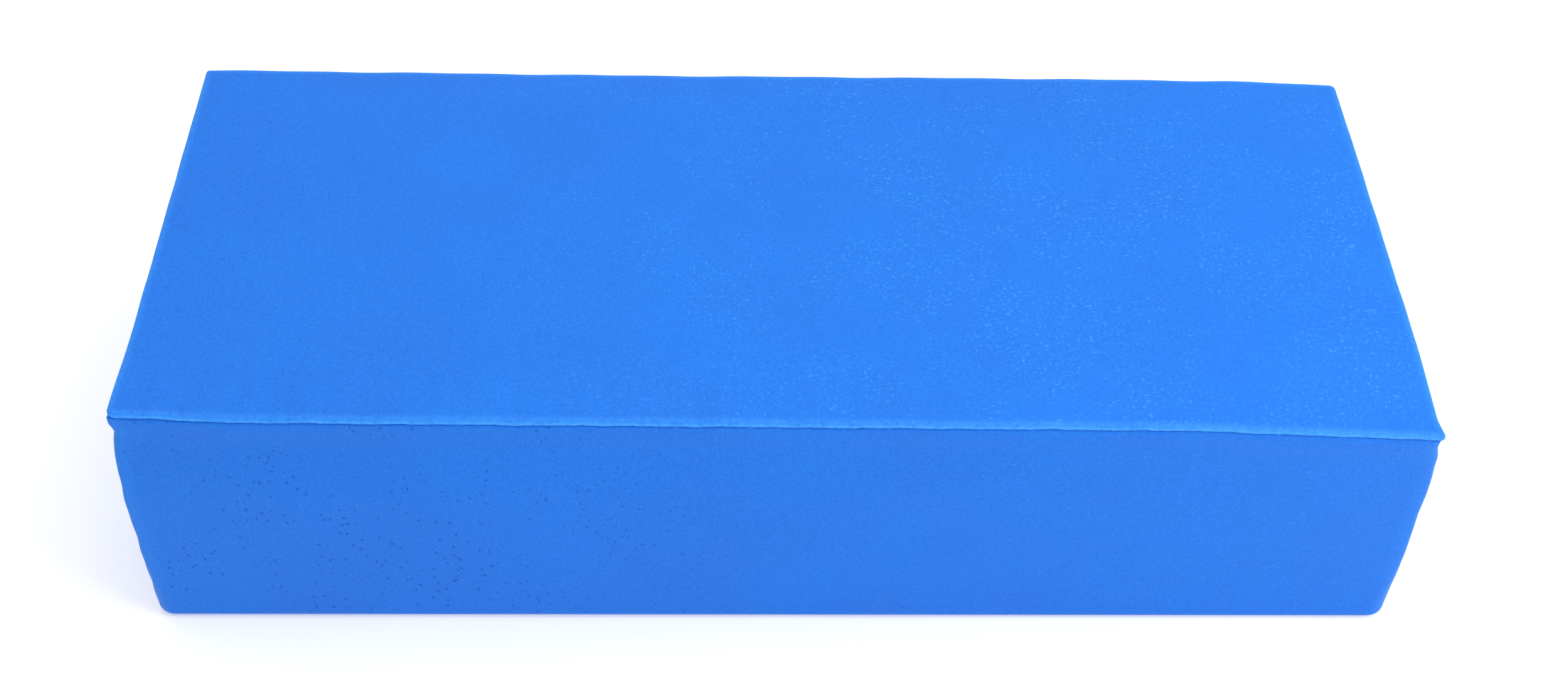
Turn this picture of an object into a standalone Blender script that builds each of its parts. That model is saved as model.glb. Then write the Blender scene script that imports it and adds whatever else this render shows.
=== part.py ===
"""Balance pad: a foam block in a sewn leathercloth cover that closes with a zip along the back.

Metres, +Z up. The origin is the centre of the underside. X runs along the pad, and the zip is on the
+Y side. A place near the pad's edge is given as an inset, measured inwards from the pad's outline in
plan, and a height.
"""

import math

import bmesh
import bpy
from mathutils import Vector

# The pad, over the folded edge of the top panel
LENGTH = 0.500
DEPTH = 0.214
HEIGHT = 0.1130

# The cover
SHEET = 0.0010  # thickness of the leathercloth
GAP = 0.0003  # clearance kept between pieces that touch
LAYER = SHEET + GAP  # from one sheet's middle to the next one's
LIP = 0.0006  # how far the top panel's edge stands out past the walls
ALLOWANCE = 0.010  # width of the seam allowances
BEND = 0.0008  # radius of a sheet's middle where it turns a corner
ROLL = 0.0035  # the same where the walls roll under at the bottom
WALL_CORNER = 0.0056  # corner radius of the walls in plan, on the pad's outline
PANEL_CORNER = 0.0015  # corner radius of the top panel in plan
TIGHTEST_CORNER = 0.0005  # corner radius in plan far inside the outline
BOTTOM_SEAM = 0.009  # inset of the seam under the bottom edge
GUSSET_HALF = 0.228  # half the length of the zipped part of the back wall
LAP_LENGTH = 0.010  # how far the zip panels run in behind the boxing strip

# The threads
THREAD = 0.0006
STITCH_WIDTH = 0.0005
STITCH_THICK = 0.0004
STITCH_MARGIN = 0.003  # from a folded edge to its row of stitches

# The zip
ZIP_HEIGHT = 0.056  # height of its centre line
ZIP_SLOT = 0.012  # width between the folded edges
ZIP_HALF = 0.222  # half its length, over the stops
STOP_LENGTH = 0.0024
TAPE_HALF = 0.236
TAPE_THICK = 0.0006
TAPE_INNER = 0.0005  # from the centre line to the tape's near edge
TAPE_OUTER = 0.0150
TOOTH_PITCH = 0.004
TOOTH_LENGTH = 0.0022
TOOTH_TIP = 0.0005  # from the centre line to the tooth's tip
TOOTH_ROOT = 0.0019
TEETH_BACK = 0.0029
TEETH_THICK = 0.0014

# The slider, measured from its own centre, with its nose towards -X
SLIDER_LENGTH = 0.012
SLIDER_NOSE_HALF = 0.0050
SLIDER_REAR_HALF = 0.0042
PLATE_THICK = 0.0011
FLANGE_THICK = 0.0008
INNER_PLATE_TRIM = 0.0003  # how much smaller the inner plate is all round
POST_LENGTH = 0.0035
POST_THICK = 0.0006
BAIL_HALF = 0.0028
BAIL_RISE = 0.00245  # from the outer plate to the middle of the bail's top
BAIL_THICK = 0.0010
BAIL_WIDTH = 0.0020
PIVOT_RISE = 0.0010  # from the outer plate to the pull tab's axis

# The pull tab
TAB_LENGTH = 0.026
TAB_WIDTH = 0.0062
TAB_NECK_WIDTH = 0.0044
TAB_TIP_WIDTH = 0.0056
TAB_THICK = 0.0011
EYE_LENGTH = 0.0040
EYE_WIDTH = 0.0032
TAB_HOLE_LENGTH = 0.0060
TAB_HOLE_WIDTH = 0.0020
TAB_HOLE_START = 0.0160

# The foam
FOAM_CORNER = 0.0050

ARC_STEPS = 4  # segments in a quarter turn of a fold
CORNER_STEPS = 4  # segments in a corner in plan

# Places that follow from the sizes above
WALL = LIP + SHEET / 2  # inset of the walls' middle
TOP_Z = HEIGHT - SHEET / 2  # height of the top panel's middle
BOTTOM_Z = SHEET / 2
UPPER_EDGE = ZIP_HEIGHT + ZIP_SLOT / 2
LOWER_EDGE = ZIP_HEIGHT - ZIP_SLOT / 2
TAPE_FACE = WALL + LAYER + SHEET / 2 + GAP  # inset of the tapes' outer face
TEETH_FACE = TAPE_FACE - GAP - TEETH_THICK  # inset of the teeth's outer face
PLATE_INNER = TEETH_FACE - GAP  # inset of the outer plate's inner face
PLATE_OUTER = PLATE_INNER - PLATE_THICK
BACK_PLATE = TAPE_FACE + TAPE_THICK + GAP  # inset of the inner plate's outer face
PIVOT_INSET = PLATE_OUTER - PIVOT_RISE
SLIDER_X = -ZIP_HALF + STOP_LENGTH + GAP + SLIDER_LENGTH / 2
BACK_Y = DEPTH / 2

BLUE = (0.036, 0.225, 0.860)
DEEP_BLUE = (0.020, 0.110, 0.520)
FOAM_GREY = (0.085, 0.092, 0.105)
NICKEL = (0.620, 0.610, 0.590)


def clear_scene():
    for thing in list(bpy.data.objects):
        bpy.data.objects.remove(thing, do_unlink=True)


def material(name, colour, roughness, metallic=0.0):
    """A plain Principled BSDF, made once for each name."""
    made = bpy.data.materials.get(name)
    if made is None:
        made = bpy.data.materials.new(name)
        made.use_nodes = True
        shader = made.node_tree.nodes["Principled BSDF"]
        shader.inputs["Base Color"].default_value = (*colour, 1.0)
        shader.inputs["Roughness"].default_value = roughness
        shader.inputs["Metallic"].default_value = metallic
    return made


def leathercloth():
    return material("leathercloth", BLUE, 0.50)


def thread_material():
    return material("sewing_thread", DEEP_BLUE, 0.70)


def metal():
    return material("nickel_plate", NICKEL, 0.32, metallic=1.0)


def piece(name, mesh_data, finish, smooth=True):
    """Links one closed mesh as an object of that name, faces out."""
    bmesh.ops.recalc_face_normals(mesh_data, faces=mesh_data.faces)
    mesh = bpy.data.meshes.new(name)
    mesh_data.to_mesh(mesh)
    mesh_data.free()
    mesh.materials.append(finish)
    if smooth:
        mesh.shade_smooth()
        mesh.set_sharp_from_angle(angle=math.radians(35))
    thing = bpy.data.objects.new(name, mesh)
    bpy.context.scene.collection.objects.link(thing)
    return thing


def filleted(start, corners, end):
    """A 2D path from start to end, with an arc of the given radius at each (point, radius) corner."""
    points = [Vector(start)]
    path = [Vector(start)] + [Vector(p) for p, _ in corners] + [Vector(end)]
    for i, (corner, radius) in enumerate(corners, start=1):
        corner = Vector(corner)
        into = (corner - path[i - 1]).normalized()
        out = (path[i + 1] - corner).normalized()
        turn = into.angle_signed(out)
        reach = radius * math.tan(abs(turn) / 2)
        first = corner - into * reach
        side = Vector((-into.y, into.x)) * (-1 if turn > 0 else 1)
        centre = first + side * radius
        steps = max(2, round(ARC_STEPS * abs(turn) / (math.pi / 2)))
        spoke = first - centre
        for k in range(steps + 1):
            angle = -turn * k / steps
            cos, sin = math.cos(angle), math.sin(angle)
            points.append(centre + Vector((spoke.x * cos - spoke.y * sin, spoke.x * sin + spoke.y * cos)))
    points.append(Vector(end))
    kept = [points[0]]
    for point in points[1:]:
        if (point - kept[-1]).length > 1e-6:
            kept.append(point)
    return kept


def thickened(path, thickness):
    """The outline of a sheet whose middle follows the 2D path: down its left side and back up its right."""
    left, right = [], []
    for i, point in enumerate(path):
        before = (point - path[i - 1]).normalized() if i > 0 else None
        after = (path[i + 1] - point).normalized() if i < len(path) - 1 else None
        before = before or after
        after = after or before
        along = (before + after).normalized()
        normal = Vector((-along.y, along.x))
        spread = thickness / 2 / max(0.2, normal.dot(Vector((-before.y, before.x))))
        left.append(point + normal * spread)
        right.append(point - normal * spread)
    return left + right[::-1]


def plan_loop(inset, corner):
    """The pad's outline in plan, moved in by inset: a rectangle with round corners, anticlockwise."""
    half_x = LENGTH / 2 - inset
    half_y = DEPTH / 2 - inset
    radius = max(corner - inset, TIGHTEST_CORNER)
    quarters = ((1, 1), (-1, 1), (-1, -1), (1, -1))
    points = []
    for quarter, (sign_x, sign_y) in enumerate(quarters):
        centre = Vector((sign_x * (half_x - radius), sign_y * (half_y - radius)))
        for k in range(CORNER_STEPS + 1):
            angle = math.pi / 2 * (quarter + k / CORNER_STEPS)
            points.append(centre + radius * Vector((math.cos(angle), math.sin(angle))))
    return points


def plan_strip(inset, corner):
    """The same outline cut open at the back, from the gusset's -X end round the front to its +X end."""
    loop = plan_loop(inset, corner)
    first_corner, others = loop[: CORNER_STEPS + 1], loop[CORNER_STEPS + 1 :]
    back = DEPTH / 2 - inset
    return [Vector((-GUSSET_HALF, back))] + others + first_corner + [Vector((GUSSET_HALF, back))]


def plan_rows(data, section, plan, corner):
    """Rows of vertices round the plan, one for each (inset, height) point of the section."""
    return [[data.verts.new((p.x, p.y, height)) for p in plan(inset, corner)] for inset, height in section]


def bridge(data, rows, closed):
    """Faces between neighbouring rows of vertices."""
    for row, following in zip(rows, rows[1:]):
        count = len(row)
        for i in range(count if closed else count - 1):
            j = (i + 1) % count
            data.faces.new((row[i], row[j], following[j], following[i]))


def lid(name, chain, corner, finish):
    """A closed body whose surface follows the (inset, height) chain, flat across both ends of the chain."""
    data = bmesh.new()
    rows = plan_rows(data, chain, plan_loop, corner)
    bridge(data, rows, closed=True)
    data.faces.new(rows[0])
    data.faces.new(rows[-1])
    return piece(name, data, finish)


def ring(name, outline, corner, finish):
    """A closed (inset, height) outline swept right round the pad."""
    data = bmesh.new()
    rows = plan_rows(data, outline, plan_loop, corner)
    bridge(data, rows + rows[:1], closed=True)
    return piece(name, data, finish)


def strip(name, outline, corner, finish):
    """A closed (inset, height) outline swept round the pad from one end of the gusset to the other."""
    data = bmesh.new()
    rows = plan_rows(data, outline, plan_strip, corner)
    bridge(data, rows + rows[:1], closed=False)
    data.faces.new([row[0] for row in rows])
    data.faces.new([row[-1] for row in rows])
    return piece(name, data, finish)


def bar(name, outline, start, end, finish, smooth=True):
    """A closed (inset, height) outline run along the back wall from x = start to x = end."""
    data = bmesh.new()
    ends = (start, end)
    rows = [[data.verts.new((x, BACK_Y - inset, height)) for inset, height in outline] for x in ends]
    bridge(data, rows, closed=True)
    data.faces.new(rows[0])
    data.faces.new(rows[1])
    return piece(name, data, finish, smooth)


def box_outline(inset_low, inset_high, low, high):
    return [(inset_low, low), (inset_high, low), (inset_high, high), (inset_low, high)]


def slab(name, outline, low, high, finish):
    """A closed outline in plan, of (x, inset) points on the back wall, run up from low to high."""
    data = bmesh.new()
    rows = [[data.verts.new((x, BACK_Y - inset, height)) for x, inset in outline] for height in (low, high)]
    bridge(data, rows, closed=True)
    data.faces.new(rows[0])
    data.faces.new(rows[1])
    return piece(name, data, finish, smooth=False)


def plate(name, outline, inset_low, inset_high, finish):
    """A closed (x, height) outline run in from inset_low to inset_high."""
    data = bmesh.new()
    insets = (inset_low, inset_high)
    rows = [[data.verts.new((x, BACK_Y - inset, height)) for x, height in outline] for inset in insets]
    bridge(data, rows, closed=True)
    data.faces.new(rows[0])
    data.faces.new(rows[1])
    return piece(name, data, finish, smooth=False)


def combine(body, others, operation):
    """Joins the others to the body, or cuts them out of it, and keeps the result as the body's own mesh."""
    for other in others:
        step = body.modifiers.new(operation.lower(), "BOOLEAN")
        step.operation = operation
        step.solver = "EXACT"
        step.object = other
    bpy.context.view_layer.update()
    evaluated = body.evaluated_get(bpy.context.evaluated_depsgraph_get())
    result = bpy.data.meshes.new_from_object(evaluated)
    body.modifiers.clear()
    old = body.data
    body.data = result
    bpy.data.meshes.remove(old)
    result.name = body.name
    for other in others:
        bpy.data.objects.remove(other, do_unlink=True)
    return body


def soften(body, width, segments=2):
    """A bevel on the body's edges, which a moulded or cast piece has."""
    step = body.modifiers.new("soft_edges", "BEVEL")
    step.width = width
    step.segments = segments
    step.limit_method = "ANGLE"
    step.angle_limit = math.radians(40)
    step.use_clamp_overlap = True
    body.data.shade_smooth()
    body.data.set_sharp_from_angle(angle=math.radians(50))
    return body


# The cover


def top_panel():
    """The top sheet: it folds under at the pad's outline and runs back in as the seam allowance."""
    edge = SHEET / 2
    path = filleted(
        (3 * ALLOWANCE, TOP_Z),
        [((edge, TOP_Z), LAYER / 2), ((edge, TOP_Z - LAYER), LAYER / 2)],
        (ALLOWANCE, TOP_Z - LAYER),
    )
    return lid("top_panel", thickened(path, SHEET), PANEL_CORNER, leathercloth())


def bottom_panel():
    """The underside sheet: it folds up and in at the seam."""
    edge = BOTTOM_SEAM + LAYER / 2
    path = filleted(
        (BOTTOM_SEAM + 3 * ALLOWANCE, BOTTOM_Z),
        [((edge, BOTTOM_Z), LAYER / 2), ((edge, BOTTOM_Z + LAYER), LAYER / 2)],
        (BOTTOM_SEAM + ALLOWANCE, BOTTOM_Z + LAYER),
    )
    return lid("bottom_panel", thickened(path, SHEET), WALL_CORNER, leathercloth())


def wall_top():
    """Where a wall starts: the end of its top allowance, and the corner where it turns down."""
    height = TOP_Z - 2 * LAYER
    return (ALLOWANCE, height), ((WALL, height), BEND)


def wall_bottom():
    """How a wall ends: it rolls under, runs in to the seam, and steps up over the bottom allowance."""
    riser = BOTTOM_SEAM - LAYER / 2
    shelf = BOTTOM_Z + 2 * LAYER
    corners = [((WALL, BOTTOM_Z), ROLL), ((riser, BOTTOM_Z), BEND), ((riser, shelf), BEND)]
    return corners, (BOTTOM_SEAM + ALLOWANCE, shelf)


def boxing_strip():
    """One strip round the front, both ends and the back corners."""
    start, first = wall_top()
    others, end = wall_bottom()
    path = filleted(start, [first] + others, end)
    return strip("boxing_strip", thickened(path, SHEET), WALL_CORNER, leathercloth())


def lap(side, low, high):
    """The end of a zip panel, stepped in so that it runs behind the boxing strip."""
    inner = WALL + LAYER
    step_start = GUSSET_HALF - 0.008
    step_end = GUSSET_HALF - 2 * GAP
    outline = [
        (step_start, WALL),
        (step_end, WALL),
        (step_end, inner - SHEET / 2),
        (GUSSET_HALF + LAP_LENGTH, inner - SHEET / 2),
        (GUSSET_HALF + LAP_LENGTH, inner + SHEET / 2),
        (step_start, inner + SHEET / 2),
    ]
    mirrored = [(side * x, inset) for x, inset in outline]
    return slab("lap", mirrored, low, high, leathercloth())


def zip_panel_upper():
    """The back wall above the zip, its lower edge folded in over the tape."""
    start, first = wall_top()
    edge = UPPER_EDGE + SHEET / 2
    fold = [((WALL, edge), LAYER / 2), ((WALL + LAYER, edge), LAYER / 2)]
    fold_end = UPPER_EDGE + ALLOWANCE
    path = filleted(start, [first] + fold, (WALL + LAYER, fold_end))
    reach = GUSSET_HALF - GAP
    body = bar("zip_panel_upper", thickened(path, SHEET), -reach, reach, leathercloth())
    low, high = fold_end + 0.003, HEIGHT - 0.010
    return combine(body, [lap(-1, low, high), lap(1, low, high)], "UNION")


def zip_panel_lower():
    """The back wall below the zip, its upper edge folded in over the tape."""
    edge = LOWER_EDGE - SHEET / 2
    fold = [((WALL + LAYER, edge), LAYER / 2), ((WALL, edge), LAYER / 2)]
    others, end = wall_bottom()
    fold_end = LOWER_EDGE - ALLOWANCE
    path = filleted((WALL + LAYER, fold_end), fold + others, end)
    reach = GUSSET_HALF - GAP
    body = bar("zip_panel_lower", thickened(path, SHEET), -reach, reach, leathercloth())
    low, high = ROLL + 0.005, fold_end - 0.003
    return combine(body, [lap(-1, low, high), lap(1, low, high)], "UNION")


# The threads


def seam_threads():
    """The rows that hold the top and bottom seams, inside the cover against the allowances."""
    top_high = TOP_Z - 2 * LAYER - SHEET / 2 - GAP
    top_inset = STITCH_MARGIN
    outline = box_outline(top_inset, top_inset + THREAD, top_high - THREAD, top_high)
    ring("top_seam_thread", outline, WALL_CORNER, thread_material())

    bottom_low = BOTTOM_Z + 2 * LAYER + SHEET / 2 + GAP
    bottom_inset = BOTTOM_SEAM + STITCH_MARGIN
    outline = box_outline(bottom_inset, bottom_inset + THREAD, bottom_low, bottom_low + THREAD)
    ring("bottom_seam_thread", outline, WALL_CORNER, thread_material())


def topstitches():
    """The rows seen from outside: along both edges of the zip, and down both lapped end seams."""
    inner = LIP - GAP
    outer = inner - STITCH_THICK
    half = STITCH_WIDTH / 2
    rows = {"topstitch_upper": UPPER_EDGE + STITCH_MARGIN, "topstitch_lower": LOWER_EDGE - STITCH_MARGIN}
    reach = GUSSET_HALF - 2 * GAP
    for name, height in rows.items():
        outline = box_outline(outer, inner, height - half, height + half)
        bar(name, outline, -reach, reach, thread_material(), smooth=False)

    seam_x = GUSSET_HALF + STITCH_MARGIN
    ends = {"topstitch_left": -seam_x, "topstitch_right": seam_x}
    for name, x in ends.items():
        outline = [(x - half, outer), (x + half, outer), (x + half, inner), (x - half, inner)]
        slab(name, outline, 0.010, HEIGHT - 0.006, thread_material())


# The zip


def zip_tape(name, side):
    near, far = ZIP_HEIGHT + side * TAPE_INNER, ZIP_HEIGHT + side * TAPE_OUTER
    outline = box_outline(TAPE_FACE, TAPE_FACE + TAPE_THICK, near, far)
    finish = material("zip_tape", DEEP_BLUE, 0.80)
    return bar(name, outline, -TAPE_HALF, TAPE_HALF, finish, smooth=False)


def zip_teeth(name, side, shift):
    """A row of teeth on a spine. The tips stop short of the centre line, where the slider's post runs."""
    reach = ZIP_HALF - STOP_LENGTH - 2 * GAP
    count = int((2 * reach - TOOTH_LENGTH) // TOOTH_PITCH)
    first = -count * TOOTH_PITCH / 2 + shift
    cuts = [-reach]
    for k in range(count):
        cuts += [first + k * TOOTH_PITCH, first + k * TOOTH_PITCH + TOOTH_LENGTH]
    cuts.append(reach)
    back = ZIP_HEIGHT + side * TEETH_BACK
    root = ZIP_HEIGHT + side * TOOTH_ROOT
    tip = ZIP_HEIGHT + side * TOOTH_TIP
    faces_y = (BACK_Y - TEETH_FACE, BACK_Y - TEETH_FACE - TEETH_THICK)

    data = bmesh.new()
    backs = [[data.verts.new((x, y, back)) for x in cuts] for y in faces_y]
    roots = [[data.verts.new((x, y, root)) for x in cuts] for y in faces_y]
    for row_back, row_root in zip(backs, roots):
        bridge(data, [row_back, row_root], closed=False)
    bridge(data, backs, closed=False)
    for end in (0, -1):
        data.faces.new((backs[0][end], backs[1][end], roots[1][end], roots[0][end]))
    for k in range(len(cuts) - 1):
        corners = [roots[0][k], roots[0][k + 1], roots[1][k + 1], roots[1][k]]
        is_tooth = k % 2 == 1
        if not is_tooth:
            data.faces.new(corners)
            continue
        tips = [data.verts.new((corner.co.x, corner.co.y, tip)) for corner in corners]
        for i in range(4):
            j = (i + 1) % 4
            data.faces.new((corners[i], corners[j], tips[j], tips[i]))
        data.faces.new(tips)
    return piece(name, data, material("zip_teeth", DEEP_BLUE, 0.45), smooth=False)


def zip_stops():
    """Two stops side by side at the closed end, and one across both rows at the open end."""
    outer = PLATE_OUTER + PLATE_THICK / 2
    inner = TAPE_FACE - GAP
    near, far = TOOTH_TIP, TEETH_BACK + 0.0004
    for name, side in (("zip_stop_upper", 1), ("zip_stop_lower", -1)):
        outline = box_outline(outer, inner, ZIP_HEIGHT + side * near, ZIP_HEIGHT + side * far)
        soften(bar(name, outline, -ZIP_HALF, -ZIP_HALF + STOP_LENGTH, metal()), 0.0003)
    outline = box_outline(outer, inner, ZIP_HEIGHT - far, ZIP_HEIGHT + far)
    soften(bar("zip_stop_open_end", outline, ZIP_HALF - STOP_LENGTH, ZIP_HALF, metal()), 0.0003)


def mirrored_outline(half_path):
    """A closed (x, height) outline from one half, given as x and the distance from the centre line."""
    half = [(x, away) for x, away in half_path if away > 1e-6]
    return [(x, ZIP_HEIGHT + away) for x, away in half] + [(x, ZIP_HEIGHT - away) for x, away in half[::-1]]


def slider_side(trim=0.0):
    """One side of the slider's plan, blunt at the nose, widest behind it and narrow at the rear."""
    nose = SLIDER_X - SLIDER_LENGTH / 2 + trim
    rear = SLIDER_X + SLIDER_LENGTH / 2 - trim
    wide, narrow = SLIDER_NOSE_HALF - trim, SLIDER_REAR_HALF - trim
    corners = [
        ((nose, wide * 0.66), 0.0008),
        ((nose + SLIDER_LENGTH * 0.18, wide), 0.0020),
        ((nose + SLIDER_LENGTH * 0.45, wide), 0.0040),
        ((nose + SLIDER_LENGTH * 0.68, narrow), 0.0040),
        ((rear, narrow), 0.0010),
    ]
    return filleted((nose, 0.0), corners, (rear, 0.0))


def slider_flange(side):
    """One side rim of the outer plate, which keeps the teeth in the slider."""
    outer = [p for p in slider_side(0.0002) if p.y > SLIDER_REAR_HALF - 0.0006]
    inner = [Vector((p.x, p.y - FLANGE_THICK)) for p in outer[::-1]]
    outline = [(p.x, ZIP_HEIGHT + side * p.y) for p in outer + inner]
    return plate("flange", outline, PLATE_OUTER + PLATE_THICK / 2, TAPE_FACE - GAP, metal())


def slider_bail():
    """The arch on the outer plate that holds the pull tab."""
    foot = PLATE_OUTER + PLATE_THICK / 2
    crest = PLATE_OUTER - BAIL_RISE
    path = filleted(
        (SLIDER_X - BAIL_HALF, foot),
        [((SLIDER_X - BAIL_HALF, crest), 0.0011), ((SLIDER_X + BAIL_HALF, crest), 0.0011)],
        (SLIDER_X + BAIL_HALF, foot),
    )
    low, high = ZIP_HEIGHT - BAIL_WIDTH / 2, ZIP_HEIGHT + BAIL_WIDTH / 2
    return slab("bail", thickened(path, BAIL_THICK), low, high, metal())


def zip_slider():
    """Two plates joined by a post at the nose. The teeth run between them, the tapes out at the sides."""
    body = plate("zip_slider", mirrored_outline(slider_side()), PLATE_OUTER, PLATE_INNER, metal())
    inner_outline = mirrored_outline(slider_side(INNER_PLATE_TRIM))
    inner_plate = plate("inner_plate", inner_outline, BACK_PLATE, BACK_PLATE + PLATE_THICK, metal())
    nose = SLIDER_X - SLIDER_LENGTH / 2
    post_start = nose + 0.0004
    post_outline = [
        (post_start, ZIP_HEIGHT - POST_THICK / 2),
        (post_start + POST_LENGTH, ZIP_HEIGHT - POST_THICK / 4),
        (post_start + POST_LENGTH, ZIP_HEIGHT + POST_THICK / 4),
        (post_start, ZIP_HEIGHT + POST_THICK / 2),
    ]
    post = plate("post", post_outline, PLATE_OUTER + PLATE_THICK / 2, BACK_PLATE + PLATE_THICK / 2, metal())
    parts = [inner_plate, post, slider_flange(1), slider_flange(-1), slider_bail()]
    combine(body, parts, "UNION")
    return soften(body, 0.00022)


def zip_pull_tab():
    """A flat tab whose eye goes round the bail. The bar at its near end turns on the joint's axis."""
    start = SLIDER_X - TAB_THICK / 2
    end = SLIDER_X + TAB_LENGTH
    wide, narrow, tip = TAB_WIDTH / 2, TAB_NECK_WIDTH / 2, TAB_TIP_WIDTH / 2
    corners = [
        ((start, wide), 0.0016),
        ((SLIDER_X + EYE_LENGTH + 0.0012, wide), 0.0030),
        ((SLIDER_X + EYE_LENGTH + 0.0042, narrow), 0.0040),
        ((end - 0.0050, tip), 0.0040),
        ((end, tip), 0.0020),
    ]
    outline = mirrored_outline(filleted((start, 0.0), corners, (end, 0.0)))
    low, high = PIVOT_INSET - TAB_THICK / 2, PIVOT_INSET + TAB_THICK / 2
    body = plate("zip_pull_tab", outline, low, high, metal())

    eye_start = SLIDER_X + TAB_THICK / 2
    eye = box_plan(eye_start, eye_start + EYE_LENGTH - TAB_THICK / 2, EYE_WIDTH / 2)
    hole_start = SLIDER_X + TAB_HOLE_START
    hole = box_plan(hole_start, hole_start + TAB_HOLE_LENGTH, TAB_HOLE_WIDTH / 2)
    cutters = [plate("cutter", shape, low - 0.001, high + 0.001, metal()) for shape in (eye, hole)]
    combine(body, cutters, "DIFFERENCE")
    turn_about(body, Vector((SLIDER_X, BACK_Y - PIVOT_INSET, ZIP_HEIGHT)))
    return soften(body, 0.0003)


def box_plan(start, end, half):
    """A rectangle of (x, height) points on the zip's centre line."""
    low, high = ZIP_HEIGHT - half, ZIP_HEIGHT + half
    return [(start, low), (end, low), (end, high), (start, high)]


def turn_about(body, pivot):
    """Puts the body's origin on its joint's axis and leaves its shape where it is."""
    for vertex in body.data.vertices:
        vertex.co -= pivot
    body.location = pivot


# The foam


def foam_core():
    """The block inside, stepped back at its top and bottom edges for the allowances, and behind the zip."""
    face = WALL + SHEET / 2 + GAP
    top = TOP_Z - SHEET / 2 - GAP
    top_step = TOP_Z - 2 * LAYER - SHEET / 2 - 2 * GAP - THREAD
    bottom = BOTTOM_Z + SHEET / 2 + GAP
    bottom_step = BOTTOM_Z + 2 * LAYER + SHEET / 2 + 2 * GAP + THREAD
    top_inset = ALLOWANCE + GAP
    bottom_inset = BOTTOM_SEAM + ALLOWANCE + GAP
    round_under = ROLL - SHEET / 2 - GAP
    side = filleted(
        (top_inset, top),
        [((top_inset, top_step), 0.0005), ((face, top_step), 0.0010), ((face, bottom_step), round_under)],
        (bottom_inset, bottom_step),
    )
    chain = side + [Vector((bottom_inset, bottom))]
    finish = material("foam", FOAM_GREY, 0.95)
    body = lid("foam_core", chain, FOAM_CORNER + face, finish)

    outside = -0.001
    panel_half = GUSSET_HALF + LAP_LENGTH + GAP
    panel_low = bottom_step + round_under + GAP
    panel_outline = box_outline(outside, BACK_PLATE, panel_low, HEIGHT - 0.008)
    panels = bar("cutter", panel_outline, -panel_half, panel_half, finish, smooth=False)

    slider_recess = BACK_PLATE + PLATE_THICK + GAP
    reach = SLIDER_NOSE_HALF + 0.001
    groove_outline = box_outline(outside, slider_recess, ZIP_HEIGHT - reach, ZIP_HEIGHT + reach)
    groove = bar("cutter", groove_outline, -ZIP_HALF - GAP, ZIP_HALF + GAP, finish, smooth=False)
    return combine(body, [panels, groove], "DIFFERENCE")


def main():
    clear_scene()
    foam_core()
    top_panel()
    boxing_strip()
    bottom_panel()
    zip_panel_upper()
    zip_panel_lower()
    seam_threads()
    topstitches()
    zip_tape("zip_tape_upper", 1)
    zip_tape("zip_tape_lower", -1)
    zip_teeth("zip_teeth_upper", 1, 0.0)
    zip_teeth("zip_teeth_lower", -1, TOOTH_PITCH / 2)
    zip_stops()
    zip_slider()
    zip_pull_tab()


main()
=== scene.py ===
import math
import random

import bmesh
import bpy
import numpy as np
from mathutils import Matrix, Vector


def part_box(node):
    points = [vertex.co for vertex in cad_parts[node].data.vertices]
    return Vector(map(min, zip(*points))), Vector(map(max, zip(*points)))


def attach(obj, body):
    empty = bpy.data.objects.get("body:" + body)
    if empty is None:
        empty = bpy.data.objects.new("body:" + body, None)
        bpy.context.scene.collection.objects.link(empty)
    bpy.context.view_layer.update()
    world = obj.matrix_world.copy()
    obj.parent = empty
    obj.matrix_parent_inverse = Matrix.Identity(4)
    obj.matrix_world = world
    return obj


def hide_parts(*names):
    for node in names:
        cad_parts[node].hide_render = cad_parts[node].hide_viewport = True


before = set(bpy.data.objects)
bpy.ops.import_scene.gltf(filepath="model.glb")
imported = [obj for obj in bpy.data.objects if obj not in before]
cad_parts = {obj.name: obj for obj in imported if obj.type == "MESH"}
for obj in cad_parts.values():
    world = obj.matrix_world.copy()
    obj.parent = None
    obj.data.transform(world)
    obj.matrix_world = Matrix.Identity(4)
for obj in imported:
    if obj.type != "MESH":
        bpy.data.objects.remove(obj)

# Looks of the balance pad. Metres, +Z up, the pad lying on z = 0 with its zip at +Y.
#
# Every soft piece is first laid out on the plain block that the CAD gives, where a place near the edge is an
# inset from the pad's outline and a height. shaped() then carries all of them, the threads and the foam
# included, through one and the same change of shape: the swell that the cloth simulation gives the cover, the
# pull of the seams, and the unevenness of a sewn cover. So layers that touch stay clear of each other.


def box(node):
    """Lowest and highest corner of a CAD node."""
    return [np.array(corner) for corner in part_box(node)]


# Places from the CAD
TOP_HIGH = box("top_panel")[1]
WALL_HIGH = box("boxing_strip")[1]
FLOOR_PANEL_HIGH = box("bottom_panel")[1]
HALF = TOP_HIGH[:2]
HALF_X, HALF_Y, HEIGHT = TOP_HIGH
GAP = 0.0003  # between layers that lie on each other
SHEET = (FLOOR_PANEL_HIGH[2] - GAP) / 2
LAYER = SHEET + GAP
ALLOWANCE = 0.010  # width of the seam allowances
ROLL = 0.0035  # radius of the walls' rolled foot
BEND = 0.0006  # radius of the sheets' sharp bends
WALL = HALF_X - WALL_HIGH[0] + SHEET / 2
HOOK_Z = WALL_HIGH[2] - SHEET / 2
TOP_Z = HEIGHT - SHEET / 2
BOTTOM_EDGE = HALF_X - FLOOR_PANEL_HIGH[0]
GUSSET_HALF = box("topstitch_upper")[1][0] + 2 * GAP
SLOT_LOW = box("zip_panel_lower")[1][2]
SLOT_HIGH = box("zip_panel_upper")[0][2]
ZIP_Z = (SLOT_LOW + SLOT_HIGH) / 2
TAPE_LOW, TAPE_HIGH = box("zip_tape_upper")
TAPE_FACE = HALF_Y - TAPE_HIGH[1]
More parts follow.
